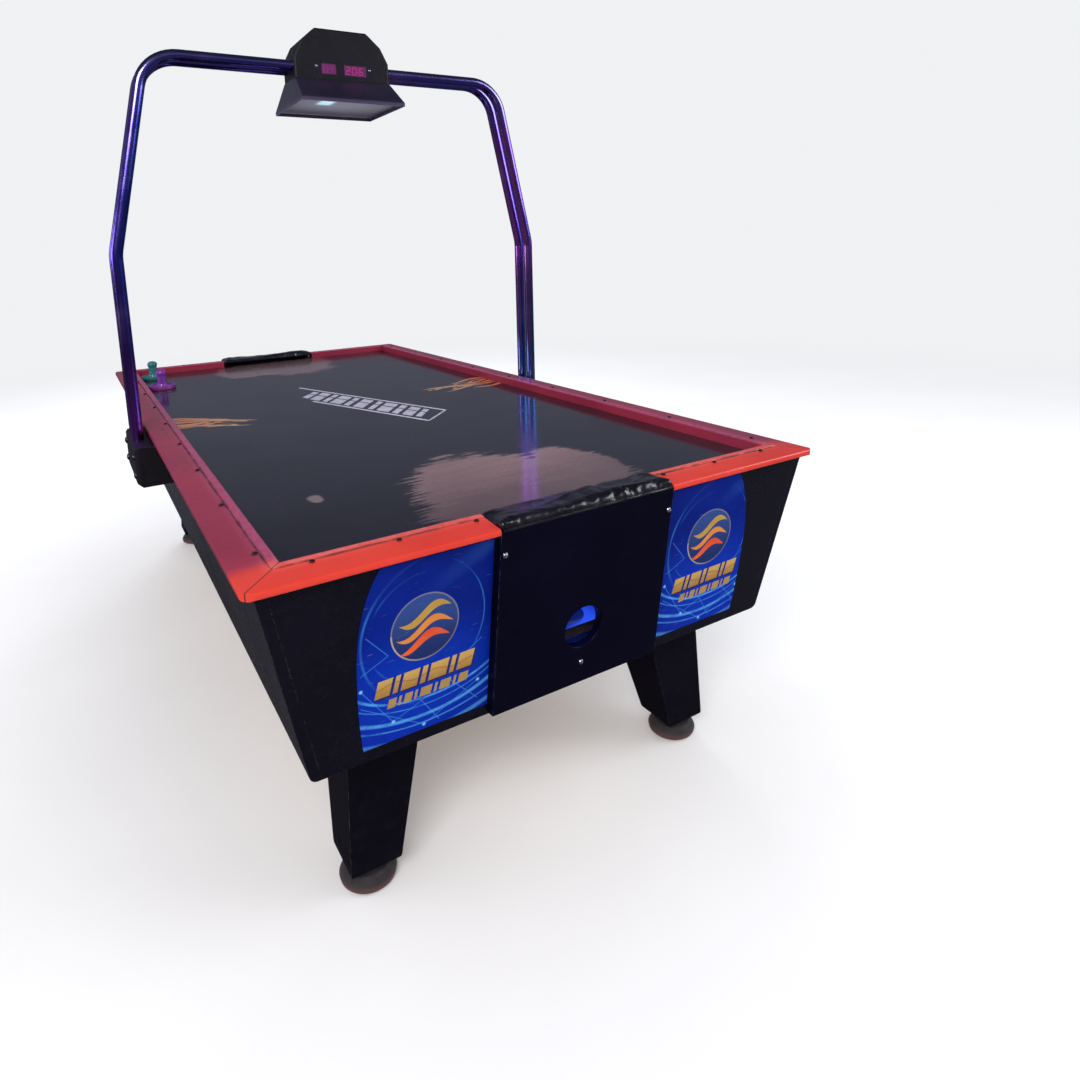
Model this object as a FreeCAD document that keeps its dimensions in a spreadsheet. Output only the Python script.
import FreeCAD, Part
import math
import os

import Sketcher
from FreeCAD import Placement, Rotation, Vector

# Overhead-arch air hockey table, millimetres, +Z up.
# The origin is at the centre of the four feet. +X is across the table (left is -X), +Y along it,
# and the front goal end is at -Y. Levels count from a datum that lies floor_level under the floor;
# the export lowers every part so that the floor is at z 0.

doc = FreeCAD.newDocument("air_hockey_table")

# ---------------------------------------------------------------- driving dimensions
DIMENSIONS = [
    # table and rails
    ("table_length", 2515.0), ("table_width", 1295.0), ("table_height", 787.0),
    ("rail_width", 78.0), ("rail_overhang", 22.0), ("lip_width", 18.0),
    ("flange_top", 781.5), ("flange_under", 768.0), ("mitre_gap", 0.3),
    ("corner_radius", 25.0), ("rail_screw_inset", 52.5), ("rail_screw_pitch", 280.0),
    ("rail_screw_hole_radius", 2.1),
    # playfield and cabinet
    ("playfield_level", 761.0), ("playfield_thickness", 16.0),
    ("playfield_half_width", 601.0), ("playfield_half_length", 1213.0),
    ("playfield_goal_edge", 1180.0),
    ("cabinet_bottom", 382.0), ("side_lean", 76.0), ("end_lean", 55.0),
    ("panel_thickness", 19.0), ("floor_thickness", 12.0), ("fit_gap", 0.2),
    ("side_edge_round", 16.0), ("bolt_hole_radius", 4.2),
    # goals
    ("goal_width", 410.0), ("goal_cutout_half", 184.0), ("goal_cutout_bottom", 473.0),
    ("cap_bottom", 775.0), ("cap_height", 20.0), ("goal_panel_thickness", 19.8),
    ("goal_panel_bottom", 388.0), ("return_hole_level", 518.0), ("return_hole_diameter", 90.0),
    ("goal_screw_reach", 195.0), ("goal_screw_high", 729.0), ("goal_screw_low", 437.0),
    ("goal_screw_hole_radius", 2.6),
    ("chute_half_width", 150.0), ("chute_floor", 513.0), ("sheet_metal", 2.0),
    # air plenum
    ("plenum_half_width", 570.0), ("plenum_half_length", 1105.0),
    ("plenum_height", 62.0), ("plenum_board", 12.0), ("plenum_wall", 18.0),
    # legs and levelers
    ("floor_level", 26.0), ("leg_bottom", 72.0),
    ("leg_foot_width", 104.0), ("leg_head_width", 160.0),
    ("leg_foot_across", 415.0), ("leg_foot_along", 1041.0),
    ("leg_head_across", 372.0), ("leg_head_along", 998.0), ("leg_bolt_reach", 45.0),
    ("insert_diameter", 30.0), ("stem_diameter", 16.0), ("foot_diameter", 116.0),
    ("foot_height", 58.0), ("running_clearance", 0.05),
    # arch and its brackets
    ("tube_diameter", 32.0), ("tube_wall", 2.0), ("tube_offset", 29.5),
    ("arch_base", 674.0), ("arch_foot_level", 660.0), ("arch_knee", 1280.0),
    ("arch_shoulder", 553.0), ("arch_level", 1816.0), ("knee_radius", 130.0),
    ("shoulder_radius", 112.0),
    ("bracket_outer", 694.5), ("bracket_half_length", 142.0),
    ("bracket_top", 757.0), ("bracket_bottom", 645.0),
    ("post_bolt_along", 115.0), ("post_bolt_low", 676.0), ("post_bolt_high", 728.0),
    # score unit and lamp
    ("score_half_width", 150.0), ("score_half_depth", 58.0),
    ("score_bottom", 1780.0), ("score_shoulder", 1840.0), ("score_top", 1925.0),
    ("score_wall", 3.0), ("window_half_width", 76.0), ("window_low", 1793.0),
    ("window_high", 1828.0), ("score_screw_reach", 84.0),
    ("shade_half_width", 160.0), ("shade_half_depth", 145.0), ("shade_bottom", 1700.0),
    ("shade_skirt", 10.0), ("shade_wall", 2.5),
    # blower
    ("blower_diameter", 240.0), ("blower_height", 100.0), ("impeller_diameter", 190.0),
    ("motor_diameter", 130.0), ("motor_height", 90.0), ("shaft_diameter", 10.0),
    # playing pieces
    ("mallet_diameter", 98.0), ("puck_diameter", 82.0), ("puck_thickness", 6.4),
]
size = dict(DIMENSIONS)
sheet = doc.addObject("Spreadsheet::Sheet", "Sheet")
for row, (alias, number) in enumerate(DIMENSIONS, start=1):
    sheet.set("A%d" % row, alias)
    sheet.set("B%d" % row, str(number))
    sheet.setAlias("B%d" % row, alias)
doc.recompute()


class Dim:
    """A length that carries its number and its spreadsheet expression."""

    def __init__(self, value, text):
        self.value = float(value)
        self.text = text

    def __add__(self, other):
        other = dim(other)
        return Dim(self.value + other.value, "(%s + %s)" % (self.text, other.text))

    def __radd__(self, other):
        return dim(other) + self

    def __sub__(self, other):
        other = dim(other)
        return Dim(self.value - other.value, "(%s - %s)" % (self.text, other.text))

    def __rsub__(self, other):
        return dim(other) - self

    def __mul__(self, other):
        other = dim(other)
        return Dim(self.value * other.value, "(%s * %s)" % (self.text, other.text))

    def __rmul__(self, other):
        return dim(other) * self

    def __truediv__(self, other):
        other = dim(other)
        return Dim(self.value / other.value, "(%s / %s)" % (self.text, other.text))

    def __neg__(self):
        return Dim(-self.value, "(-1 * %s)" % self.text)

    def bind(self, obj, path):
        """Drive a property from the sheet, if the length depends on it."""
        if "Sheet" in self.text:
            obj.setExpression(path, self.text)


def dim(number):
    if isinstance(number, Dim):
        return number
    return Dim(number, "(%r)" % float(number) if number < 0 else "%r" % float(number))


def cell(alias):
    return Dim(size[alias], "Sheet.%s" % alias)


HALF_LENGTH = cell("table_length") / 2
HALF_WIDTH = cell("table_width") / 2
TABLE_TOP = cell("table_height")
RAIL_WIDTH = cell("rail_width")
OVERHANG = cell("rail_overhang")
FIELD_TOP = cell("playfield_level")
FIELD_THICKNESS = cell("playfield_thickness")
FIELD_UNDER = FIELD_TOP - FIELD_THICKNESS
CABINET_BOTTOM = cell("cabinet_bottom")
PANEL = cell("panel_thickness")
GAP = cell("fit_gap")
BOLT_HOLE = cell("bolt_hole_radius")
CLEARANCE = cell("running_clearance")
SIDE_SLOPE = cell("side_lean") / (FIELD_TOP - CABINET_BOTTOM)
END_SLOPE = cell("end_lean") / (FIELD_TOP - CABINET_BOTTOM)

# cuts that run right through the table, across and along it
THROUGH_ACROSS = cell("table_width") + 10
THROUGH_ALONG = cell("table_length") + 10

CORNERS = [(sx, sy) for sx in (-1, 1) for sy in (-1, 1)]


def side_x(z):
    """Half-width of the cabinet's outer side face at level z."""
    return HALF_WIDTH - OVERHANG - SIDE_SLOPE * (FIELD_TOP - z)


def end_y(z):
    """Half-length of the cabinet's outer end face at level z."""
    return HALF_LENGTH - OVERHANG - END_SLOPE * (FIELD_TOP - z)


def goal_y(z):
    """Distance of the goal panel's outer face from the centre at level z."""
    return HALF_LENGTH - END_SLOPE * (cell("cap_bottom") - z)


# ---------------------------------------------------------------- bodies and sketches
parts = []


def new_body(label, turned=False):
    """A body; a turned one is swung half round about Z to the opposite side."""
    body = doc.addObject("PartDesign::Body", label)
    body.Label = label
    if turned:
        body.Placement = Placement(Vector(0, 0, 0), Rotation(Vector(0, 0, 1), 180))
    parts.append(body)
    return body


def build_pair(build, label, turned_label):
    """The same piece on both sides of the table, modelled at -X or -Y."""
    build(new_body(label))
    build(new_body(turned_label, turned=True))


def place(body, x, y, z):
    x, y, z = dim(x), dim(y), dim(z)
    body.Placement = Placement(Vector(x.value, y.value, z.value), Rotation())
    for axis, length in (("x", x), ("y", y), ("z", z)):
        length.bind(body, "Placement.Base." + axis)


def origin_feature(body, role):
    for feature in body.Origin.OriginFeatures:
        if feature.Role == role:
            return feature
    raise RuntimeError("no origin feature " + role)


sketch_count = 0


def sketch(body, role, level=None):
    """A sketch on an origin plane, moved along the plane's normal by level."""
    global sketch_count
    sketch_count += 1
    sk = body.newObject("Sketcher::SketchObject", "Sketch%03d" % sketch_count)
    sk.AttachmentSupport = [(origin_feature(body, role), "")]
    sk.MapMode = "FlatFace"
    if level is not None:
        level = dim(level)
        sk.AttachmentOffset = Placement(Vector(0, 0, level.value), Rotation())
        sk.setExpression("AttachmentOffset.Base.z", level.text)
    return sk


def constrain(sk, length, *args):
    """Add a dimensional constraint and bind it to the sheet."""
    index = sk.addConstraint(Sketcher.Constraint(*args, length.value))
    length.bind(sk, "Constraints[%d]" % index)


def pin_point(sk, geometry, position, x, y):
    constrain(sk, dim(x), "DistanceX", -1, 1, geometry, position)
    constrain(sk, dim(y), "DistanceY", -1, 1, geometry, position)


def polygon(sk, points):
    points = [(dim(x), dim(y)) for x, y in points]
    following = points[1:] + points[:1]
    ids = []
    for (x0, y0), (x1, y1) in zip(points, following):
        line = Part.LineSegment(Vector(x0.value, y0.value, 0), Vector(x1.value, y1.value, 0))
        ids.append(sk.addGeometry(line, False))
    for line, next_line in zip(ids, ids[1:] + ids[:1]):
        sk.addConstraint(Sketcher.Constraint("Coincident", line, 2, next_line, 1))
    for line, (x, y) in zip(ids, points):
        pin_point(sk, line, 1, x, y)


def rectangle(sk, x0, y0, x1, y1):
    polygon(sk, [(x0, y0), (x1, y0), (x1, y1), (x0, y1)])


def centred_rectangle(sk, half_x, half_y):
    rectangle(sk, -half_x, -half_y, half_x, half_y)


def circle(sk, x, y, radius):
    x, y, radius = dim(x), dim(y), dim(radius)
    ring = Part.Circle(Vector(x.value, y.value, 0), Vector(0, 0, 1), radius.value)
    geometry = sk.addGeometry(ring, False)
    constrain(sk, radius, "Radius", geometry)
    pin_point(sk, geometry, 3, x, y)


# ---------------------------------------------------------------- features
def extrusion(body, kind, sk, length, both, back):
    length = dim(length)
    feature = body.newObject("PartDesign::" + kind, kind + "_" + sk.Name)
    feature.Profile = sk
    feature.Length = length.value
    feature.setExpression("Length", length.text)
    feature.Reversed = back
    if both:
        feature.SideType = "Symmetric"
    return feature


def pad(body, sk, length, both=False, back=False):
    return extrusion(body, "Pad", sk, length, both, back)


def pocket(body, sk, length, both=False, back=False):
    doc.recompute()
    before = body.Tip.Shape.Volume
    feature = extrusion(body, "Pocket", sk, length, both, back)
    doc.recompute()
    if not 1.0 < feature.Shape.Volume < before - 1e-3:
        raise RuntimeError("%s: %s removes nothing" % (body.Label, feature.Name))
    return feature


def ease_edges(body, pick, amount, kind="Fillet"):
    """Fillet or chamfer the edges of the body that pick accepts."""
    doc.recompute()
    base = body.Tip
    names = ["Edge%d" % i for i, e in enumerate(base.Shape.Edges, start=1) if pick(e)]
    if not names:
        raise RuntimeError("%s: no edge to ease" % body.Label)
    amount = dim(amount)
    size_property = {"Fillet": "Radius", "Chamfer": "Size"}[kind]
    name = "Round%03d_%s" % (len(doc.Objects), body.Name)
    feature = body.newObject("PartDesign::" + kind, name)
    feature.Base = (base, names)
    setattr(feature, size_property, amount.value)
    feature.setExpression(size_property, amount.text)
    doc.recompute()


def row_along_y(body, original, length, number):
    """Repeat a feature so that the row spans length."""
    doc.recompute()
    name = "Row%03d_%s" % (len(doc.Objects), body.Name)
    feature = body.newObject("PartDesign::LinearPattern", name)
    feature.Originals = [original]
    feature.Direction = (origin_feature(body, "Y_Axis"), [""])
    length = dim(length)
    feature.Length = length.value
    feature.setExpression("Length", length.text)
    feature.Occurrences = number
    body.Tip = feature
    doc.recompute()


def revolve(body, sk, axis="V_Axis"):
    feature = body.newObject("PartDesign::Revolution", "Rev_" + sk.Name)
    feature.Profile = sk
    feature.ReferenceAxis = (sk, [axis])
    feature.Angle = 360.0
    doc.recompute()


def loft(body, kind, name, lower, upper):
    feature = body.newObject("PartDesign::" + kind, name)
    feature.Profile = lower
    feature.Sections = [upper]
    feature.Ruled = True
    doc.recompute()


def vertical(edge):
    if len(edge.Vertexes) != 2:
        return False
    start, end = edge.Vertexes[0].Point, edge.Vertexes[1].Point
    return (abs(start.x - end.x) < 1e-6 and abs(start.y - end.y) < 1e-6
            and abs(start.z - end.z) > 1e-3)


def closed_circle(edge):
    return len(edge.Vertexes) == 1


def mid(edge):
    return edge.CenterOfMass


# ---------------------------------------------------------------- plain solids
def group(label, solids):
    """Small pieces that share one node, each its own solid."""
    node = doc.addObject("Part::Feature", label)
    node.Label = label
    node.Shape = Part.makeCompound(solids)
    parts.append(node)


def face(corners):
    return Part.Face(Part.makePolygon(corners + corners[:1]))


def hexagon(radius):
    angles = [math.radians(60 * i) for i in range(6)]
    return [(radius * math.cos(a), radius * math.sin(a)) for a in angles]


def turned(profile):
    """Solid of revolution about Z from (radius, height) points."""
    solid = face([Vector(r, 0, z) for r, z in profile])
    solid = solid.revolve(Vector(0, 0, 0), Vector(0, 0, 1), 360)
    return solid.reversed() if solid.Volume < 0 else solid


def aim(solid, base, axis):
    """Stand a solid modelled along +Z at base, pointing along axis."""
    solid.Placement = Placement(base, Rotation(Vector(0, 0, 1), axis))
    return solid


def cross_screw(profile, arm, recess_level, recess_depth, base, axis):
    """Screw with a cross recess; arm is the half-length and half-width of one arm."""
    screw = turned(profile)
    for dx, dy in (arm, arm[::-1]):
        corner = Vector(-dx, -dy, recess_level)
        screw = screw.cut(Part.makeBox(2 * dx, 2 * dy, recess_depth, corner))
    return aim(screw, base, axis)


def half_turned(solids):
    """Copies turned half round about Z."""
    copies = [solid.copy() for solid in solids]
    for solid in copies:
        solid.rotate(Vector(0, 0, 0), Vector(0, 0, 1), 180)
    return copies


def on_both_sides(solids):
    return solids + half_turned(solids)


# ---------------------------------------------------------------- cabinet
CUT_OUTSIDE = 60          # how far the outlines that trim panel ends reach beyond them
FLOOR_CLEARANCE = 0.5     # floor edge to panel
FLOOR_HOLE_DEPTH = cell("floor_thickness") + 2
VENT_HALF_WIDTH = 120
VENT_FIRST = (-300, -288)
VENT_ROW = 180
VENTS = 7
SWITCH_X = 350            # centre of the power switch
SWITCH_HOLE = (11.5, 17.5)


def post_bolt_holes(body, length):
    sk = sketch(body, "YZ_Plane")
    for side in (-1, 1):
        for level in ("post_bolt_low", "post_bolt_high"):
            circle(sk, side * cell("post_bolt_along"), cell(level), BOLT_HOLE)
    pocket(body, sk, length, both=True)


def goal_screw_holes(body):
    reach, radius = cell("goal_screw_reach"), cell("goal_screw_hole_radius")
    sk = sketch(body, "XZ_Plane")
    circle(sk, reach, cell("goal_screw_high"), radius)
    circle(sk, -reach, cell("goal_screw_high"), radius)
    circle(sk, 0, cell("goal_screw_low"), radius)
    pocket(body, sk, THROUGH_ALONG, both=True)


def leg_bolt_circles(sk, sx, sy):
    reach = cell("leg_bolt_reach")
    for bx, by in CORNERS:
        circle(sk, sx * cell("leg_head_across") + bx * reach,
               sy * cell("leg_head_along") + by * reach, BOLT_HOLE)


def leaning_section(sk, top_edge, low_edge):
    """Section of a leaning cabinet panel between two outer-face distances."""
    polygon(sk, [(-top_edge, FIELD_TOP), (-top_edge + PANEL, FIELD_TOP),
                 (-low_edge + PANEL, CABINET_BOTTOM), (-low_edge, CABINET_BOTTOM)])


def trim_ends(body, role, top_edge, low_edge, outside, length):
    """Cut both ends of a panel on the lean of its neighbours."""
    sk = sketch(body, role)
    for side in (1, -1):
        polygon(sk, [(side * top_edge, FIELD_TOP), (side * outside, FIELD_TOP),
                     (side * outside, CABINET_BOTTOM), (side * low_edge, CABINET_BOTTOM)])
    pocket(body, sk, length, both=True)


def side_panel(panel):
    section = sketch(panel, "XZ_Plane")
    leaning_section(section, side_x(FIELD_TOP), side_x(CABINET_BOTTOM))
    pad(panel, section, end_y(FIELD_TOP) * 2, both=True)
    trim_ends(panel, "YZ_Plane", end_y(FIELD_TOP), end_y(CABINET_BOTTOM),
              end_y(FIELD_TOP) + CUT_OUTSIDE, THROUGH_ACROSS)
    post_bolt_holes(panel, THROUGH_ACROSS)
    # long lower outer edge
    outer_x = -(side_x(CABINET_BOTTOM).value - 1)
    ease_edges(panel, lambda e: e.Length > 2000
               and abs(mid(e).z - size["cabinet_bottom"]) < 1e-3
               and mid(e).x < outer_x, cell("side_edge_round"))


def end_panel(panel):
    section = sketch(panel, "YZ_Plane")
    leaning_section(section, end_y(FIELD_TOP), end_y(CABINET_BOTTOM))
    pad(panel, section, side_x(FIELD_TOP) * 2, both=True)
    trim_ends(panel, "XZ_Plane", side_x(FIELD_TOP) - PANEL - GAP,
              side_x(CABINET_BOTTOM) - PANEL - GAP, side_x(FIELD_TOP) + CUT_OUTSIDE,
              THROUGH_ALONG)
    cutout = sketch(panel, "XZ_Plane")
    half = cell("goal_cutout_half")
    rectangle(cutout, -half, cell("goal_cutout_bottom"), half, FIELD_TOP + 5)
    pocket(panel, cutout, THROUGH_ALONG, both=True)
    goal_screw_holes(panel)


def cabinet_floor():
    floor = new_body("cabinet_floor")
    board = sketch(floor, "XY_Plane", CABINET_BOTTOM)
    centred_rectangle(board, side_x(CABINET_BOTTOM) - PANEL - FLOOR_CLEARANCE,
                      end_y(CABINET_BOTTOM) - PANEL - FLOOR_CLEARANCE)
    pad(floor, board, cell("floor_thickness"))
    bolts = sketch(floor, "XY_Plane", CABINET_BOTTOM - 1)
    for sx, sy in CORNERS:
        leg_bolt_circles(bolts, sx, sy)
    pocket(floor, bolts, FLOOR_HOLE_DEPTH, back=True)
    slot = sketch(floor, "XY_Plane", CABINET_BOTTOM - 1)
    rectangle(slot, -VENT_HALF_WIDTH, VENT_FIRST[0], VENT_HALF_WIDTH, VENT_FIRST[1])
    vent = pocket(floor, slot, FLOOR_HOLE_DEPTH, back=True)
    row_along_y(floor, vent, VENT_ROW, VENTS)
    opening = sketch(floor, "XY_Plane", CABINET_BOTTOM - 1)
    half_x, half_y = SWITCH_HOLE
    rectangle(opening, SWITCH_X - half_x, -half_y, SWITCH_X + half_x, half_y)
    pocket(floor, opening, FLOOR_HOLE_DEPTH, back=True)


build_pair(side_panel, "side_panel_left", "side_panel_right")
build_pair(end_panel, "end_panel_front", "end_panel_back")
cabinet_floor()

# ---------------------------------------------------------------- playfield and air plenum
RAIL_SCREWS = 9                       # along each side
END_SCREWS = (225.0, 375.0, 525.0)    # x of the screws along each half of an end
RAIL_SCREW_HOLE = cell("rail_screw_hole_radius")
SCREW_ROW = (RAIL_SCREWS - 1) * cell("rail_screw_pitch")
SCREW_X = HALF_WIDTH - cell("rail_screw_inset")
SCREW_Y = HALF_LENGTH - cell("rail_screw_inset")
AIR_HOLE_RADIUS = 55                  # blower to plenum
PLENUM_UNDER = FIELD_UNDER - cell("plenum_height") - cell("plenum_board")


def side_screw_holes(body, sides, level, depth):
    first = sketch(body, "XY_Plane", level)
    for side in sides:
        circle(first, side * SCREW_X, -SCREW_ROW / 2, RAIL_SCREW_HOLE)
    holes = pocket(body, first, depth)
    row_along_y(body, holes, SCREW_ROW, RAIL_SCREWS)


def playfield():
    field = new_body("playfield")
    board = sketch(field, "XY_Plane", FIELD_TOP)
    half_x, half_y = cell("playfield_half_width"), cell("playfield_half_length")
    notch_x, notch_y = cell("goal_cutout_half"), cell("playfield_goal_edge")
    polygon(board, [(-half_x, -half_y), (-notch_x, -half_y), (-notch_x, -notch_y),
                    (notch_x, -notch_y), (notch_x, -half_y), (half_x, -half_y),
                    (half_x, half_y), (notch_x, half_y), (notch_x, notch_y),
                    (-notch_x, notch_y), (-notch_x, half_y), (-half_x, half_y)])
    pad(field, board, FIELD_THICKNESS, back=True)
    side_screw_holes(field, (-1, 1), FIELD_TOP + 1, FIELD_THICKNESS + 2)
    end_holes = sketch(field, "XY_Plane", FIELD_TOP + 1)
    for sy in (-1, 1):
        for sx in (-1, 1):
            for x in END_SCREWS:
                circle(end_holes, sx * x, sy * SCREW_Y, RAIL_SCREW_HOLE)
    pocket(field, end_holes, FIELD_THICKNESS + 2)


def plenum():
    half_x, half_y = cell("plenum_half_width"), cell("plenum_half_length")
    wall = cell("plenum_wall")
    frame = new_body("plenum_frame")
    walls = sketch(frame, "XY_Plane", FIELD_UNDER)
    centred_rectangle(walls, half_x, half_y)
    centred_rectangle(walls, half_x - wall, half_y - wall)
    pad(frame, walls, cell("plenum_height"), back=True)

    floor = new_body("plenum_floor")
    board = sketch(floor, "XY_Plane", FIELD_UNDER - cell("plenum_height"))
    centred_rectangle(board, half_x, half_y)
    circle(board, 0, 0, AIR_HOLE_RADIUS)
    pad(floor, board, cell("plenum_board"), back=True)


playfield()
plenum()

# ---------------------------------------------------------------- rails
FLANGE_START = 5      # inward distance where the flange's sloping top begins
FLANGE_RISE = 3.7     # rise of the flange top up to the lip
LIP_GROOVE = 1.6      # groove cut into the foot of the lip
RAIL_CUT_LEVEL = TABLE_TOP + 5
RAIL_CUT_DEPTH = 60
CORNER_STEPS = 8      # straight facets round a rail corner
MITRE_OVER = 2        # overshoot of the mitre outlines beyond the rail


def rail_section(edge):
    """Rail section with its outer edge at -edge."""
    top, under = cell("flange_top"), cell("flange_under")
    lip = RAIL_WIDTH - cell("lip_width")
    groove_top = top + 2.6
    # distance in from the outer edge, level
    points = [
        (OVERHANG, FIELD_TOP), (RAIL_WIDTH, FIELD_TOP), (RAIL_WIDTH, TABLE_TOP - 3),
        (RAIL_WIDTH - 0.9, TABLE_TOP - 0.9), (RAIL_WIDTH - 3, TABLE_TOP),
        (lip + 1.2, TABLE_TOP), (lip, TABLE_TOP - 1.2), (lip, groove_top),
        (lip - LIP_GROOVE, groove_top), (lip - LIP_GROOVE, top + FLANGE_RISE),
        (FLANGE_START, top), (2.4, top - 0.7), (0.8, top - 2.3), (0, top - 4.8),
        (0, under + 4), (1, under + 1.4), (3.2, under), (OVERHANG - 2, under),
        (OVERHANG, under - 2),
    ]
    return [(-edge + inward, z) for inward, z in points]


def corner_cut(sk, sx, sy):
    """Everything outside the rounded outer corner at (sx, sy)."""
    radius = cell("corner_radius")
    points = []
    for i in range(CORNER_STEPS + 1):
        angle = math.radians(90.0 * i / CORNER_STEPS)
        points.append((sx * (HALF_WIDTH - radius + radius * math.cos(angle)),
                       sy * (HALF_LENGTH - radius + radius * math.sin(angle))))
    outside_x, outside_y = sx * (HALF_WIDTH + 4), sy * (HALF_LENGTH + 4)
    points += [(sx * (HALF_WIDTH - radius), outside_y), (outside_x, outside_y),
               (outside_x, sy * (HALF_LENGTH - radius))]
    polygon(sk, points)


def side_rail(rail):
    section = sketch(rail, "XZ_Plane")
    polygon(section, rail_section(HALF_WIDTH))
    pad(rail, section, cell("table_length"), both=True)
    gap = cell("mitre_gap")
    outer_x, inner_x = -HALF_WIDTH - MITRE_OVER, -HALF_WIDTH + RAIL_WIDTH + MITRE_OVER
    far_y = HALF_LENGTH + 6
    mitres = sketch(rail, "XY_Plane", RAIL_CUT_LEVEL)
    for side in (-1, 1):
        polygon(mitres, [(outer_x, side * (HALF_LENGTH + MITRE_OVER - gap)),
                         (inner_x, side * (HALF_LENGTH - RAIL_WIDTH - MITRE_OVER - gap)),
                         (inner_x, side * far_y), (outer_x, side * far_y)])
    pocket(rail, mitres, RAIL_CUT_DEPTH)
    corners = sketch(rail, "XY_Plane", RAIL_CUT_LEVEL)
    corner_cut(corners, -1, -1)
    corner_cut(corners, -1, 1)
    pocket(rail, corners, RAIL_CUT_DEPTH)
    side_screw_holes(rail, (-1,), RAIL_CUT_LEVEL, RAIL_CUT_DEPTH)


def end_rail(rail, side):
    """Rail from the goal to the corner, modelled at -Y on the given side of x 0."""
    half_goal = cell("goal_width") / 2
    section = sketch(rail, "YZ_Plane", side * (HALF_WIDTH + half_goal) / 2)
    polygon(section, rail_section(HALF_LENGTH))
    pad(rail, section, HALF_WIDTH - half_goal, both=True)
    gap = cell("mitre_gap")
    outer_x = side * (HALF_WIDTH + MITRE_OVER)
    inner_y = -HALF_LENGTH + RAIL_WIDTH + MITRE_OVER - gap
    mitre = sketch(rail, "XY_Plane", RAIL_CUT_LEVEL)
    polygon(mitre, [(outer_x, -HALF_LENGTH - MITRE_OVER - gap),
                    (side * (HALF_WIDTH - RAIL_WIDTH - MITRE_OVER), inner_y),
                    (outer_x, inner_y)])
    pocket(rail, mitre, RAIL_CUT_DEPTH)
    corner = sketch(rail, "XY_Plane", RAIL_CUT_LEVEL)
    corner_cut(corner, side, -1)
    pocket(rail, corner, RAIL_CUT_DEPTH)
    holes = sketch(rail, "XY_Plane", RAIL_CUT_LEVEL)
    for x in END_SCREWS:
        circle(holes, side * x, -SCREW_Y, RAIL_SCREW_HOLE)
    pocket(rail, holes, RAIL_CUT_DEPTH)


def rail_screws():
    """Pan heads seated on the sloping flange, tips in the playfield board."""
    slope_run = size["rail_width"] - size["lip_width"] - LIP_GROOVE - FLANGE_START
    slope_in = size["rail_screw_inset"] - FLANGE_START
    seat = size["flange_top"] + FLANGE_RISE * slope_in / slope_run + 0.35
    tip = size["playfield_level"] - 13 - seat
    # radius, height above the seat
    profile = [(0, tip), (1.4, tip), (2.0, tip + 1.5), (2.0, 0), (4.6, 0),
               (4.6, 1.2), (4.1, 2.1), (3.1, 2.8), (0, 3.1)]
    pitch = size["rail_screw_pitch"]
    places = []
    for side in (-1, 1):
        for i in range(RAIL_SCREWS):
            places.append((side * SCREW_X.value, (i - (RAIL_SCREWS - 1) / 2) * pitch))
        for sy in (-1, 1):
            for x in END_SCREWS:
                places.append((side * x, sy * SCREW_Y.value))
    group("rail_screws", [
        cross_screw(profile, arm=(2.4, 0.45), recess_level=1.3, recess_depth=3,
                    base=Vector(x, y, seat), axis=Vector(0, 0, 1))
        for x, y in places])


build_pair(side_rail, "side_rail_left", "side_rail_right")
end_rail(new_body("end_rail_front_left"), -1)
end_rail(new_body("end_rail_front_right"), 1)
end_rail(new_body("end_rail_back_right", turned=True), -1)
end_rail(new_body("end_rail_back_left", turned=True), 1)
rail_screws()

# ---------------------------------------------------------------- goals
GOAL_HALF = cell("goal_width") / 2 - 0.5    # half-width of the cap and the panel
CAP_ROUND = 6
RETURN_RIM_ROUND = 3
CHUTE_STANDOFF = 21     # goal panel's outer face to the chute
CHUTE_REACH = 151.5     # table end to the chute's inner end
SENSOR_SIZE = (12, 22, 16)
SENSOR_AT = (106, 604)  # distance in from the table end, level
SENSOR_ROUND = 1.5


def goal_cap(cap):
    block = sketch(cap, "XY_Plane", cell("cap_bottom"))
    rectangle(block, -GOAL_HALF, -HALF_LENGTH, GOAL_HALF, -HALF_LENGTH + RAIL_WIDTH)
    pad(cap, block, cell("cap_height"))
    top = size["cap_bottom"] + size["cap_height"]
    ease_edges(cap, lambda e: abs(mid(e).z - top) < 1e-3 or vertical(e), CAP_ROUND)


def goal_panel(panel):
    thickness, low, high = cell("goal_panel_thickness"), cell("goal_panel_bottom"), cell("cap_bottom")
    section = sketch(panel, "YZ_Plane")
    polygon(section, [(-goal_y(high), high), (-goal_y(high) + thickness, high),
                      (-goal_y(low) + thickness, low), (-goal_y(low), low)])
    pad(panel, section, 2 * GOAL_HALF, both=True)
    hole = sketch(panel, "XZ_Plane")
    circle(hole, 0, cell("return_hole_level"), cell("return_hole_diameter") / 2)
    pocket(panel, hole, THROUGH_ALONG, both=True)
    goal_screw_holes(panel)
    # outer rim of the return hole
    rim_y = -(goal_y(cell("return_hole_level")).value - 5)
    ease_edges(panel, lambda e: closed_circle(e) and e.Length > 200 and mid(e).y < rim_y,
               RETURN_RIM_ROUND)


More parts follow.
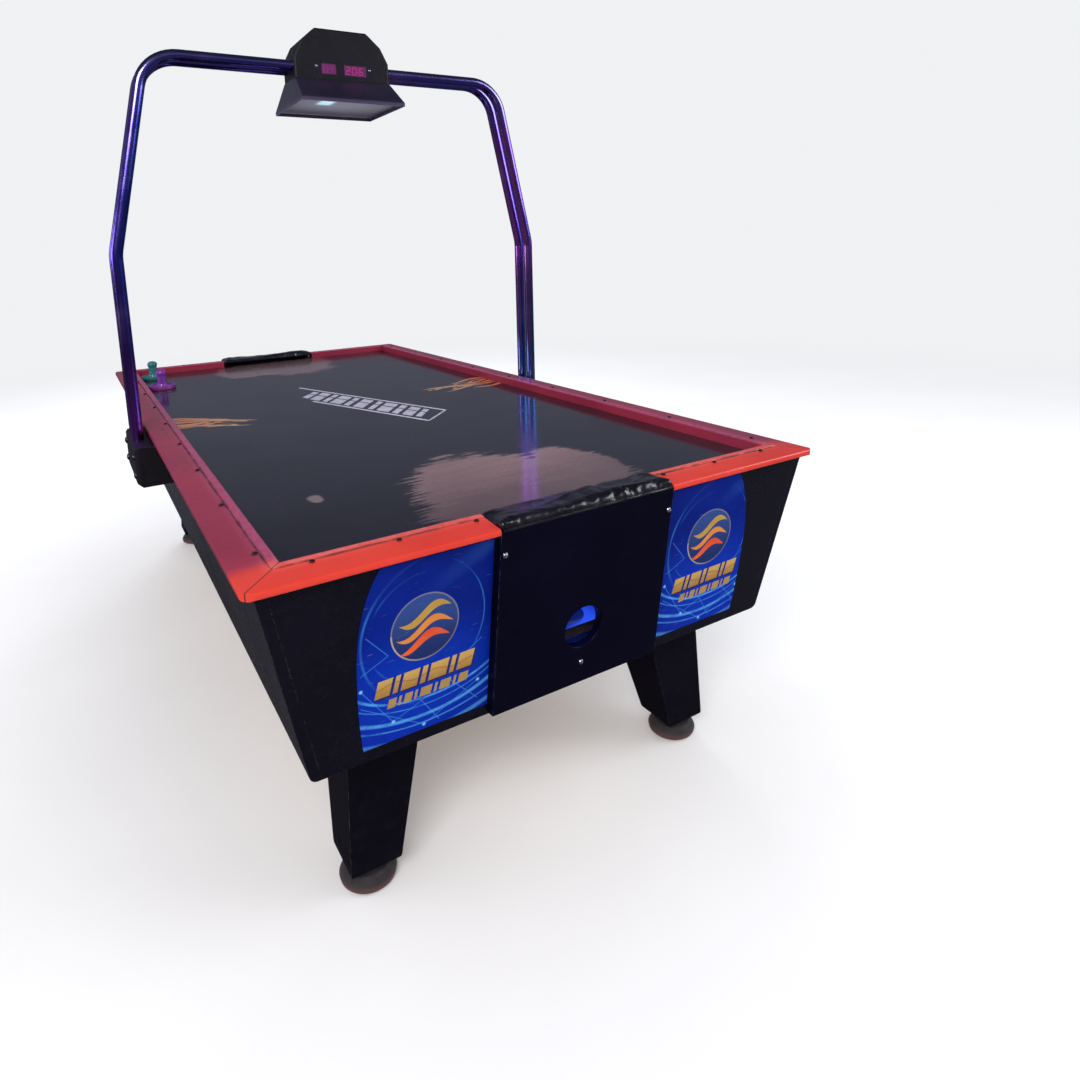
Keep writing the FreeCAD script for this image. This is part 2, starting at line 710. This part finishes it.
def puck_chute(chute):
    """Sheet-metal trough behind the goal panel, open at the top and towards the panel."""
    floor, half = cell("chute_floor"), cell("chute_half_width")
    metal = cell("sheet_metal")
    top, under = FIELD_UNDER - 2, floor - metal
    end = -HALF_LENGTH + CHUTE_REACH
    outside = sketch(chute, "YZ_Plane")
    polygon(outside, [(-goal_y(top) + CHUTE_STANDOFF, top),
                      (-goal_y(under) + CHUTE_STANDOFF, under), (end, under),
                      (end, floor + 110), (-HALF_LENGTH + 81.5, top)])
    pad(chute, outside, 2 * half, both=True)
    inside = sketch(chute, "YZ_Plane")
    polygon(inside, [(-HALF_LENGTH + 10, top + 2), (-HALF_LENGTH + 10, floor),
                     (end - metal, floor), (end - metal, floor + 109.3),
                     (-HALF_LENGTH + 77.5, top + 2)])
    pocket(chute, inside, 2 * (half - metal), both=True)


def goal_panel_screws():
    # radius, height above the seat
    profile = [(0, -36), (1.9, -36), (2.5, -34.5), (2.5, 0), (5.6, 0),
               (5.4, 1.3), (4.4, 2.7), (2.6, 3.6), (0, 3.9)]
    reach, high = size["goal_screw_reach"], size["goal_screw_high"]
    places = [(-reach, high), (reach, high), (0.0, size["goal_screw_low"])]
    group("goal_panel_screws", on_both_sides([
        cross_screw(profile, arm=(2.6, 0.5), recess_level=2.0, recess_depth=3,
                    base=Vector(x, -goal_y(z).value - 0.9, z), axis=Vector(0, -1, 0))
        for x, z in places]))


def puck_sensors():
    """Small blocks on the outer side walls of the chutes."""
    width, depth, height = SENSOR_SIZE
    inward, level = SENSOR_AT
    near = size["chute_half_width"] + 0.2
    blocks = []
    for x0, outer_x in ((-near - width, -near - width), (near, near + width)):
        corner = Vector(x0, -size["table_length"] / 2 + inward, level)
        block = Part.makeBox(width, depth, height, corner)
        outer_edges = [e for e in block.Edges if abs(mid(e).x - outer_x) < 1e-6]
        blocks.append(block.makeFillet(SENSOR_ROUND, outer_edges))
    group("puck_sensors", on_both_sides(blocks))


# outline of one end graphic: distance from the table's centre plane, level;
# the points from the second to the last but one lie on a smooth curve
GRAPHIC_OUTLINE = [
    (207.0, 758.0), (424.0, 758.0), (441.0, 726.0), (452.0, 695.0), (460.0, 660.0),
    (465.0, 620.0), (466.5, 570.0), (465.0, 510.0), (461.5, 455.0), (456.0, 407.0),
    (207.0, 407.0),
]
GRAPHIC_INNER, GRAPHIC_OUTER = 0.1, 1.1    # the sheet's faces off the end panel
SLAB_HALF = 700                            # wider than the graphics


def graphic(side):
    """Thin printed sheet lying on the leaning front end panel."""
    points = [Vector(side * x, 0, z) for x, z in GRAPHIC_OUTLINE]
    curve = Part.BSplineCurve()
    curve.interpolate(points[1:-1])
    wire = Part.Wire([Part.LineSegment(points[-1], points[0]).toShape(),
                      Part.LineSegment(points[0], points[1]).toShape(),
                      curve.toShape(),
                      Part.LineSegment(points[-2], points[-1]).toShape()])
    block = Part.Face(wire).extrude(Vector(0, -size["table_length"], 0))
    high, low = size["playfield_level"], size["cabinet_bottom"]
    high_y, low_y = -end_y(high).value, -end_y(low).value
    slab = face([Vector(-SLAB_HALF, high_y - GRAPHIC_OUTER, high),
                 Vector(-SLAB_HALF, high_y - GRAPHIC_INNER, high),
                 Vector(-SLAB_HALF, low_y - GRAPHIC_INNER, low),
                 Vector(-SLAB_HALF, low_y - GRAPHIC_OUTER, low)])
    slab = slab.extrude(Vector(2 * SLAB_HALF, 0, 0))
    return block.common(slab).Solids[0]


build_pair(goal_cap, "goal_cap_front", "goal_cap_back")
build_pair(goal_panel, "goal_panel_front", "goal_panel_back")
build_pair(puck_chute, "puck_chute_front", "puck_chute_back")
goal_panel_screws()
puck_sensors()
graphics = [graphic(-1), graphic(1)]
group("end_graphics_front", graphics)
group("end_graphics_back", half_turned(graphics))

# ---------------------------------------------------------------- legs and levelers
LEGS = (("front_left", -1, -1), ("front_right", 1, -1),
        ("back_left", -1, 1), ("back_right", 1, 1))
LEG_ROUND = 12
INSERT_POCKET = 45     # cut depth, from 1 under the leg
LEG_BOLT_POCKET = 40   # cut depth, from 1 over the cabinet bottom
LEG_BOLT_SHANK = 46
WASHER_THICKNESS = 1.6
HEX_RADIUS = 7.5       # bolt heads and nuts, over the corners
INSERT_LENGTH = 40
INSERT_DROP = 3        # flange depth under the leg
FOOT_BASE = 9          # thickness of the foot under its bore
STEM_LENGTH = 71


def square(sk, x, y, half):
    rectangle(sk, x - half, y - half, x + half, y + half)


def leg(name, sx, sy):
    """Tapering leg, splayed outwards to its foot."""
    body = new_body("leg_" + name)
    foot_x, foot_y = sx * cell("leg_foot_across"), sy * cell("leg_foot_along")
    head_x, head_y = sx * cell("leg_head_across"), sy * cell("leg_head_along")
    foot = sketch(body, "XY_Plane", cell("leg_bottom"))
    square(foot, foot_x, foot_y, cell("leg_foot_width") / 2)
    head = sketch(body, "XY_Plane", CABINET_BOTTOM - 0.1)
    square(head, head_x, head_y, cell("leg_head_width") / 2)
    loft(body, "AdditiveLoft", "Loft_" + name, foot, head)
    insert = sketch(body, "XY_Plane", cell("leg_bottom") - 1)
    circle(insert, foot_x, foot_y, cell("insert_diameter") / 2 + CLEARANCE)
    pocket(body, insert, INSERT_POCKET, back=True)
    bolts = sketch(body, "XY_Plane", CABINET_BOTTOM + 1)
    leg_bolt_circles(bolts, sx, sy)
    pocket(body, bolts, LEG_BOLT_POCKET)
    low = size["leg_bottom"]
    middle = (low + size["cabinet_bottom"]) / 2

    def corner_or_foot_edge(e):
        if len(e.Vertexes) != 2 or e.Curve.TypeId != "Part::GeomLine":
            return False
        corner = abs(mid(e).z - middle) < 20 and e.Length > 150
        return corner or abs(mid(e).z - low) < 1e-3

    ease_edges(body, corner_or_foot_edge, LEG_ROUND)


def leg_bolt(x, y):
    """Hex bolt and washer on the cabinet floor, shank down into the leg."""
    under = size["cabinet_bottom"] + size["floor_thickness"] + 0.1
    over = under + WASHER_THICKNESS
    head = face([Vector(x + dx, y + dy, over) for dx, dy in hexagon(HEX_RADIUS)])
    head = head.extrude(Vector(0, 0, 5.3))
    washer = Part.makeCylinder(9, WASHER_THICKNESS, Vector(x, y, under))
    shank = Part.makeCylinder(4, LEG_BOLT_SHANK, Vector(x, y, over - LEG_BOLT_SHANK))
    return head.fuse([washer, shank]).removeSplitter()


def leg_bolts():
    reach = size["leg_bolt_reach"]
    group("leg_bolts", [
        leg_bolt(sx * size["leg_head_across"] + bx * reach,
                 sy * size["leg_head_along"] + by * reach)
        for _, sx, sy in LEGS for bx, by in CORNERS])


def leveler_insert(x, y):
    """Flanged bush in the foot of a leg."""
    low = size["leg_bottom"] - INSERT_DROP
    bore = size["stem_diameter"] / 2 + size["running_clearance"]
    bush = Part.makeCylinder(size["insert_diameter"] / 2, INSERT_LENGTH, Vector(x, y, low))
    bush = bush.fuse(Part.makeCylinder(22, INSERT_DROP - 0.1, Vector(x, y, low)))
    bush = bush.cut(Part.makeCylinder(bore, 60, Vector(x, y, low - 7)))
    return bush.removeSplitter()


def leveler_foot(name, x, y):
    body = new_body("leveler_foot_" + name)
    place(body, x, y, 0)
    radius, top, low = cell("foot_diameter") / 2, cell("foot_height"), cell("floor_level")
    bore = cell("stem_diameter") / 2 + CLEARANCE
    section = sketch(body, "XZ_Plane")
    # radius, level
    polygon(section, [(0, low), (radius - 9, low), (radius - 2, low + 6), (radius, top - 17),
                      (radius - 5, top - 7), (radius - 15, top), (bore, top),
                      (bore, low + FOOT_BASE), (0, low + FOOT_BASE)])
    revolve(body, section)
    ease_edges(body, lambda e: e.BoundBox.XLength > 70
               and size["floor_level"] + 2 < mid(e).z < size["foot_height"] + 1, 3)


def leveler_stem(name, x, y):
    body = new_body("leveler_stem_" + name)
    place(body, x, y, 0)
    rod = sketch(body, "XY_Plane", cell("floor_level") + FOOT_BASE + 0.1)
    circle(rod, 0, 0, cell("stem_diameter") / 2)
    pad(body, rod, STEM_LENGTH)
    nut = sketch(body, "XY_Plane", cell("foot_height") + 0.6)
    polygon(nut, hexagon(14))
    pad(body, nut, 8)
    # top rim of the rod
    ease_edges(body, lambda e: closed_circle(e) and mid(e).z > 100, 1.2, "Chamfer")


for name, sx, sy in LEGS:
    leg(name, sx, sy)
leg_bolts()
group("leveler_inserts", [
    leveler_insert(sx * size["leg_foot_across"], sy * size["leg_foot_along"])
    for _, sx, sy in LEGS])
for name, sx, sy in LEGS:
    foot_place = sx * cell("leg_foot_across"), sy * cell("leg_foot_along")
    leveler_foot(name, *foot_place)
    leveler_stem(name, *foot_place)

# ---------------------------------------------------------------- arch
TUBE_RADIUS = cell("tube_diameter") / 2


def bend(corner, before, after, radius):
    """Start, centre and end of the arc that rounds a corner between two directions."""
    angle = math.acos(before.dot(after))
    tangent = radius * math.tan(angle / 2)
    inward = after - before
    inward.normalize()
    centre = corner + inward * (radius / math.cos(angle / 2))
    return corner - before * tangent, centre, corner + after * tangent


def clockwise_arc(start, centre, end, radius):
    """Clockwise arc from start to end, stored anticlockwise."""
    first = math.atan2(end.y - centre.y, end.x - centre.x)
    last = math.atan2(start.y - centre.y, start.x - centre.x)
    if last < first:
        last += 2 * math.pi
    return Part.ArcOfCircle(Part.Circle(centre, Vector(0, 0, 1), radius), first, last)


def mirrored(point):
    return Vector(-point.x, point.y, 0)


def arch_path(body):
    """Centre line of a tube: post, knee, leaning run, shoulder, top run and back down."""
    sk = sketch(body, "XZ_Plane")
    base, foot = size["arch_base"], size["arch_foot_level"]
    knee_radius, shoulder_radius = size["knee_radius"], size["shoulder_radius"]
    knee = Vector(-base, size["arch_knee"], 0)
    shoulder = Vector(-size["arch_shoulder"], size["arch_level"], 0)
    lean = shoulder - knee
    lean.normalize()
    k_start, k_centre, k_end = bend(knee, Vector(0, 1, 0), lean, knee_radius)
    s_start, s_centre, s_end = bend(shoulder, lean, Vector(1, 0, 0), shoulder_radius)
    segments = [
        Part.LineSegment(Vector(-base, foot, 0), k_start),
        clockwise_arc(k_start, k_centre, k_end, knee_radius),
        Part.LineSegment(k_end, s_start),
        clockwise_arc(s_start, s_centre, s_end, shoulder_radius),
        Part.LineSegment(s_end, mirrored(s_end)),
        clockwise_arc(mirrored(s_end), mirrored(s_centre), mirrored(s_start), shoulder_radius),
        Part.LineSegment(mirrored(s_start), mirrored(k_end)),
        clockwise_arc(mirrored(k_end), mirrored(k_centre), mirrored(k_start), knee_radius),
        Part.LineSegment(mirrored(k_start), Vector(base, foot, 0)),
    ]
    ids = [sk.addGeometry(segment, False) for segment in segments]
    # first and last point along the path: lines run along it, arcs against it
    ends = [(2, 1) if i % 2 else (1, 2) for i in range(len(ids))]
    for i in range(len(ids) - 1):
        sk.addConstraint(Sketcher.Constraint("Tangent", ids[i], ends[i][1],
                                             ids[i + 1], ends[i + 1][0]))
    pin_point(sk, ids[0], 1, -cell("arch_base"), cell("arch_foot_level"))
    pin_point(sk, ids[8], 2, cell("arch_base"), cell("arch_foot_level"))
    sk.addConstraint(Sketcher.Constraint("Vertical", ids[0]))
    sk.addConstraint(Sketcher.Constraint("Vertical", ids[8]))
    sk.addConstraint(Sketcher.Constraint("Horizontal", ids[4]))
    constrain(sk, cell("arch_level"), "DistanceY", -1, 1, ids[4], 1)
    for i, alias in ((1, "knee_radius"), (7, "knee_radius"),
                     (3, "shoulder_radius"), (5, "shoulder_radius")):
        constrain(sk, cell(alias), "Radius", ids[i])
    # the leaning runs pass through the unrounded knee and shoulder corners
    for side, line in ((-1, ids[2]), (1, ids[6])):
        for x, z in (("arch_base", "arch_knee"), ("arch_shoulder", "arch_level")):
            point = sk.addGeometry(Part.Point(Vector(side * size[x], size[z], 0)), True)
            pin_point(sk, point, 1, side * cell(x), cell(z))
            sk.addConstraint(Sketcher.Constraint("PointOnObject", point, 1, line))
    return sk


def arch_tube(label, side):
    body = new_body(label)
    place(body, 0, side * cell("tube_offset"), 0)
    path = arch_path(body)
    ring = sketch(body, "XY_Plane", cell("arch_foot_level"))
    circle(ring, -cell("arch_base"), 0, TUBE_RADIUS)
    circle(ring, -cell("arch_base"), 0, TUBE_RADIUS - cell("tube_wall"))
    pipe = body.newObject("PartDesign::AdditivePipe", "Pipe_" + label)
    pipe.Profile = ring
    pipe.Spine = path
    doc.recompute()


def post_bracket(bracket):
    """Block on the cabinet side that holds the feet of both arch tubes."""
    outer, top, low = cell("bracket_outer"), cell("bracket_top"), cell("bracket_bottom")
    section = sketch(bracket, "XZ_Plane")
    polygon(section, [(-side_x(top) - GAP, top), (-side_x(low) - GAP, low), (-outer + 14, low),
                      (-outer, low + 12), (-outer, top - 7), (-outer + 6, top)])
    pad(bracket, section, 2 * cell("bracket_half_length"), both=True)
    ease_edges(bracket, lambda e: vertical(e) and mid(e).x < -size["bracket_outer"] + 1, 12)
    sockets = sketch(bracket, "XY_Plane", top + 1)
    for side in (-1, 1):
        circle(sockets, -cell("arch_base"), side * cell("tube_offset"), TUBE_RADIUS + CLEARANCE)
    pocket(bracket, sockets, top + 1 - cell("arch_foot_level") + 0.2)
    post_bolt_holes(bracket, cell("table_width") + 400)


def post_bolt(y, z):
    """Bolt through the left bracket and side panel: domed head, shank and inner nut."""
    seat = Vector(-size["bracket_outer"] - 0.1, y, z)
    nut_x = -(side_x(z).value - size["panel_thickness"]) + 3.2
    # radius, height above the seat
    dome = [(0, 0), (10, 0), (9.6, 2), (7.4, 4.2), (3.6, 5.4), (0, 5.7)]
    head = aim(turned(dome), seat, Vector(-1, 0, 0))
    shank = Part.makeCylinder(4, nut_x + size["bracket_outer"] + 8.5, seat, Vector(1, 0, 0))
    nut = face([Vector(nut_x, y + dy, z + dz) for dy, dz in hexagon(HEX_RADIUS)])
    nut = nut.extrude(Vector(6.5, 0, 0))
    return head.fuse([shank, nut]).removeSplitter()


arch_tube("arch_tube_front", -1)
arch_tube("arch_tube_back", 1)
build_pair(post_bracket, "post_bracket_left", "post_bracket_right")
group("post_bolts", on_both_sides([
    post_bolt(side * size["post_bolt_along"], size[level])
    for side in (-1, 1) for level in ("post_bolt_low", "post_bolt_high")]))

# ---------------------------------------------------------------- score unit and lamp
SCORE_ROUND = 7
SCORE_SCREW_HOLE = 2.1
WINDOW_FIT = 0.2
WINDOW_THICKNESS = 3
BOARD_SIZE = (140, 1.6, 31)
DIGIT_SIZE = (28, 5, 24)
DIGITS_X = (-66, -33, 5, 38)    # left edges of the blocks on a display board
BOARD_INSET = 10                # housing face to board
DIFFUSER_LIFT = 12
LAMP_LIFT = 42


def score_outline(inset):
    half_width, low = cell("score_half_width") - inset, cell("score_bottom") + inset
    shoulder, top = cell("score_shoulder"), cell("score_top") - inset
    right = [(half_width, low), (half_width, shoulder), (half_width - 24, shoulder + 46),
             (half_width - 62, top - 6), (half_width - 70, top)]
    return right + [(-x, z) for x, z in reversed(right)]


def score_housing():
    housing = new_body("score_housing")
    half_depth, wall = cell("score_half_depth"), cell("score_wall")
    outside = sketch(housing, "XZ_Plane")
    polygon(outside, score_outline(0))
    pad(housing, outside, 2 * half_depth, both=True)
    # edges of the front and back faces, except along the bottom
    ease_edges(housing, lambda e: abs(abs(mid(e).y) - size["score_half_depth"]) < 1e-3
               and mid(e).z > size["score_bottom"] + 5, SCORE_ROUND)
    inside = sketch(housing, "XZ_Plane")
    polygon(inside, score_outline(wall))
    pocket(housing, inside, 2 * (half_depth - wall), both=True)
    tubes = sketch(housing, "YZ_Plane")
    for side in (-1, 1):
        circle(tubes, side * cell("tube_offset"), cell("arch_level"), TUBE_RADIUS + CLEARANCE)
    pocket(housing, tubes, 2 * cell("score_half_width") + 10, both=True)
    openings = sketch(housing, "XZ_Plane")
    half_window = cell("window_half_width")
    rectangle(openings, -half_window, cell("window_low"), half_window, cell("window_high"))
    for side in (-1, 1):
        circle(openings, side * cell("score_screw_reach"), cell("arch_level"), SCORE_SCREW_HOLE)
    pocket(housing, openings, 2 * half_depth + 10, both=True)


def display_window():
    half, low = size["window_half_width"], size["window_low"]
    height = size["window_high"] - low
    corner = Vector(-half + WINDOW_FIT, -size["score_half_depth"], low + WINDOW_FIT)
    return Part.makeBox(2 * half - 2 * WINDOW_FIT, WINDOW_THICKNESS,
                        height - 2 * WINDOW_FIT, corner)


def display_board():
    """Circuit board with four blocks facing the window."""
    middle = (size["window_low"] + size["window_high"]) / 2
    board_y = -size["score_half_depth"] + BOARD_INSET
    width, _, height = BOARD_SIZE
    board = Part.makeBox(*BOARD_SIZE, Vector(-width / 2, board_y, middle - height / 2))
    _, depth, height = DIGIT_SIZE
    for x in DIGITS_X:
        corner = Vector(x, board_y - depth, middle - height / 2)
        board = board.fuse(Part.makeBox(*DIGIT_SIZE, corner))
    return board.removeSplitter()


def score_screw(side):
    # radius, height above the seat
    profile = [(0, -10), (1.5, -10), (2, -8.8), (2, 0), (4.5, 0), (4.3, 1.2), (3.2, 2.4), (0, 3.0)]
    seat = Vector(side * size["score_screw_reach"], -size["score_half_depth"] - 0.1,
                  size["arch_level"])
    return cross_screw(profile, arm=(2.1, 0.4), recess_level=1.4, recess_depth=2,
                       base=seat, axis=Vector(0, -1, 0))


def lamp_shade():
    """Hollow hood under the score unit: a tapering roof over a straight skirt."""
    shade = new_body("lamp_shade")
    low, top = cell("shade_bottom"), cell("score_bottom") - 0.5
    skirt, wall = cell("shade_skirt"), cell("shade_wall")

    def tier(level, width, depth, inset=0):
        sk = sketch(shade, "XY_Plane", level)
        centred_rectangle(sk, cell(width) - inset, cell(depth) - inset)
        return sk

    wide = ("shade_half_width", "shade_half_depth")
    narrow = ("score_half_width", "score_half_depth")
    lower = tier(low + skirt, *wide)
    upper = tier(top, *narrow)
    loft(shade, "AdditiveLoft", "ShadeOuter", lower, upper)
    pad(shade, tier(low, *wide), skirt)
    doc.recompute()
    lower = tier(low + skirt, *wide, wall)
    upper = tier(top - wall, *narrow, wall)
    loft(shade, "SubtractiveLoft", "ShadeInner", lower, upper)
    pocket(shade, tier(low - 1, *wide, wall), skirt + 1, back=True)


def lamp_diffuser():
    diffuser = new_body("lamp_diffuser")
    wall = cell("shade_wall")
    plate = sketch(diffuser, "XY_Plane", cell("shade_bottom") + DIFFUSER_LIFT)
    centred_rectangle(plate, cell("shade_half_width") - wall - 1,
                      cell("shade_half_depth") - wall - 9)
    pad(diffuser, plate, 3)


def lamp_tube():
    tube = new_body("lamp_tube")
    section = sketch(tube, "XY_Plane", cell("shade_bottom") + LAMP_LIFT)
    # x, radius
    polygon(section, [(-138, 0), (138, 0), (138, 8), (132, 13), (118, 13), (118, 12),
                      (-118, 12), (-118, 13), (-132, 13), (-138, 8)])
    revolve(tube, section, "H_Axis")


score_housing()
group("display_windows", on_both_sides([display_window()]))
group("display_boards", on_both_sides([display_board()]))
group("score_screws", on_both_sides([score_screw(-1), score_screw(1)]))
lamp_shade()
lamp_diffuser()
lamp_tube()

# ---------------------------------------------------------------- blower under the plenum
BLOWER_TOP = PLENUM_UNDER - 0.2
BLOWER_BOTTOM = BLOWER_TOP - cell("blower_height")
BLOWER_WALL = 2.5
MOTOR_OPENING = 20
SHAFT_RADIUS = cell("shaft_diameter") / 2
SHAFT_TOP = PLENUM_UNDER - 62
PLATE_LEVEL = PLENUM_UNDER - 86
BLADE_LEVEL = PLENUM_UNDER - 84
BLADES = 14


def blower_housing():
    housing = new_body("blower_housing")
    radius = cell("blower_diameter") / 2
    inner = radius - BLOWER_WALL
    section = sketch(housing, "XZ_Plane")
    polygon(section, [(AIR_HOLE_RADIUS, BLOWER_TOP), (radius, BLOWER_TOP),
                      (radius, BLOWER_BOTTOM), (MOTOR_OPENING, BLOWER_BOTTOM),
                      (MOTOR_OPENING, BLOWER_BOTTOM + BLOWER_WALL),
                      (inner, BLOWER_BOTTOM + BLOWER_WALL), (inner, BLOWER_TOP - BLOWER_WALL),
                      (AIR_HOLE_RADIUS, BLOWER_TOP - BLOWER_WALL)])
    revolve(housing, section)
    # rectangular opening through one side of the drum wall
    opening = sketch(housing, "XZ_Plane")
    rectangle(opening, -40, BLOWER_BOTTOM + 20, 40, BLOWER_BOTTOM + 80)
    pocket(housing, opening, radius + 10)


def blower_impeller():
    impeller = new_body("blower_impeller")
    for level, radius, height in ((PLATE_LEVEL, cell("impeller_diameter") / 2, 3),
                                  (BLADE_LEVEL, 16, 26)):
        disc = sketch(impeller, "XY_Plane", level)
        circle(disc, 0, 0, radius)
        circle(disc, 0, 0, SHAFT_RADIUS + CLEARANCE)
        pad(impeller, disc, height)
    outline = sketch(impeller, "XY_Plane", BLADE_LEVEL)
    polygon(outline, [(52, -2), (92, 14), (91, 16.6), (51, 0.6)])
    blade = pad(impeller, outline, 62)
    doc.recompute()
    ring = impeller.newObject("PartDesign::PolarPattern", "BladeRing")
    ring.Originals = [blade]
    ring.Axis = (origin_feature(impeller, "Z_Axis"), [""])
    ring.Angle = 360.0
    ring.Occurrences = BLADES
    impeller.Tip = ring
    doc.recompute()


def blower_motor():
    """Motor can with its neck and shaft in one piece."""
    motor = new_body("blower_motor")
    radius = cell("motor_diameter") / 2
    top = BLOWER_BOTTOM - 0.3
    low = top - cell("motor_height")
    neck = MOTOR_OPENING - 1
    section = sketch(motor, "XZ_Plane")
    polygon(section, [(0, low), (radius - 12, low), (radius, low + 12), (radius, top - 8),
                      (radius - 6, top), (neck, top), (neck, top + 6), (SHAFT_RADIUS, top + 6),
                      (SHAFT_RADIUS, SHAFT_TOP), (0, SHAFT_TOP)])
    revolve(motor, section)


blower_housing()
blower_impeller()
blower_motor()

# ---------------------------------------------------------------- power
BOX_HALF = (100, 90)
BOX_HEIGHT = 90
NECK_HALF = (11, 17)
NECK_BORE_HALF = (8, 14.4)
PIVOT_LEVEL = CABINET_BOTTOM + 4
PIVOT_RADIUS = 1.5
PIVOT_LENGTH = 20


def switch_rectangle(sk, half):
    rectangle(sk, SWITCH_X - half[0], -half[1], SWITCH_X + half[0], half[1])


def control_box():
    """Box on the cabinet floor with a hollow neck down through it for the rocker."""
    box = new_body("control_box")
    block = sketch(box, "XY_Plane", CABINET_BOTTOM + cell("floor_thickness") + 0.2)
    switch_rectangle(block, BOX_HALF)
    pad(box, block, BOX_HEIGHT)
    ease_edges(box, vertical, 6)
    neck = sketch(box, "XY_Plane", CABINET_BOTTOM - 2)
    switch_rectangle(neck, NECK_HALF)
    pad(box, neck, 16)
    bore = sketch(box, "XY_Plane", CABINET_BOTTOM - 3)
    switch_rectangle(bore, NECK_BORE_HALF)
    pocket(box, bore, 16, back=True)
    pivot = sketch(box, "YZ_Plane", SWITCH_X)
    circle(pivot, 0, PIVOT_LEVEL, PIVOT_RADIUS + 0.05)
    pocket(box, pivot, PIVOT_LENGTH, both=True)


def power_rocker():
    """Rocker facing down, with its pivot pin."""
    rocker = new_body("power_rocker")
    top, low = CABINET_BOTTOM + 9, CABINET_BOTTOM - 6
    section = sketch(rocker, "YZ_Plane", SWITCH_X)
    polygon(section, [(-12, top), (12, top), (12.4, low), (0, CABINET_BOTTOM - 2.4),
                      (-12.4, low)])
    pad(rocker, section, 15, both=True)
    pivot = sketch(rocker, "YZ_Plane", SWITCH_X)
    circle(pivot, 0, PIVOT_LEVEL, PIVOT_RADIUS)
    pad(rocker, pivot, PIVOT_LENGTH, both=True)


control_box()
power_rocker()

# ---------------------------------------------------------------- mallets and puck
LIFT = 0.2             # clearance under a resting piece
PUCK_INWARD = 104.5    # table end to the puck's centre


def mallet(label, x, y):
    body = new_body(label)
    place(body, x, y, FIELD_TOP + LIFT)
    radius = cell("mallet_diameter") / 2
    section = sketch(body, "XZ_Plane")
    # radius, height
    polygon(section, [(0, 0), (radius - 2, 0), (radius, 2), (radius, 12), (radius - 3, 15),
                      (radius - 6, 15), (radius - 9, 11), (26, 9), (20, 12), (17, 20),
                      (16, 34), (16, 50), (18.5, 58), (19, 64), (16.5, 70), (10, 74.5), (0, 76)])
    revolve(body, section)
    ease_edges(body, lambda e: e.BoundBox.XLength > 30 and 8 < mid(e).z < 72, 1.6)


def puck():
    """Puck lying in the front chute, with a shallow ring groove in each face."""
    body = new_body("puck")
    place(body, 0, -HALF_LENGTH + PUCK_INWARD, cell("chute_floor") + LIFT)
    radius, thickness = cell("puck_diameter") / 2, cell("puck_thickness")
    section = sketch(body, "XZ_Plane")
    # radius, height
    polygon(section, [(0, 0), (radius - 11, 0), (radius - 11.6, 0.6), (radius - 9.4, 0.6),
                      (radius - 8.8, 0), (radius - 1.6, 0), (radius, 1.6),
                      (radius, thickness - 1.6), (radius - 1.6, thickness),
                      (radius - 8.8, thickness), (radius - 9.4, thickness - 0.6),
                      (radius - 11.6, thickness - 0.6), (radius - 11, thickness),
                      (0, thickness)])
    revolve(body, section)


mallet("mallet_purple", -512.0, 790.0)
mallet("mallet_teal", -515.0, 1060.0)
puck()

# ---------------------------------------------------------------- checks and export
doc.recompute()
faults = []
for obj in doc.Objects:
    if "Invalid" in obj.State or "Error" in obj.State:
        faults.append("%s %s" % (obj.Label, obj.State))
for part in parts:
    shape = part.Shape
    if shape.isNull() or not shape.isValid() or not shape.Solids:
        faults.append("%s: null, invalid or empty shape" % part.Label)
    elif part.isDerivedFrom("PartDesign::Body") and len(shape.Solids) != 1:
        faults.append("%s: %d solids" % (part.Label, len(shape.Solids)))
if faults:
    raise RuntimeError("failed objects: " + "; ".join(faults))

os.makedirs("parts", exist_ok=True)
for part in parts:
    placed = part.Shape.copy()
    placed.translate(Vector(0, 0, -size["floor_level"]))
    placed.exportStep("parts/%s.step" % part.Label)
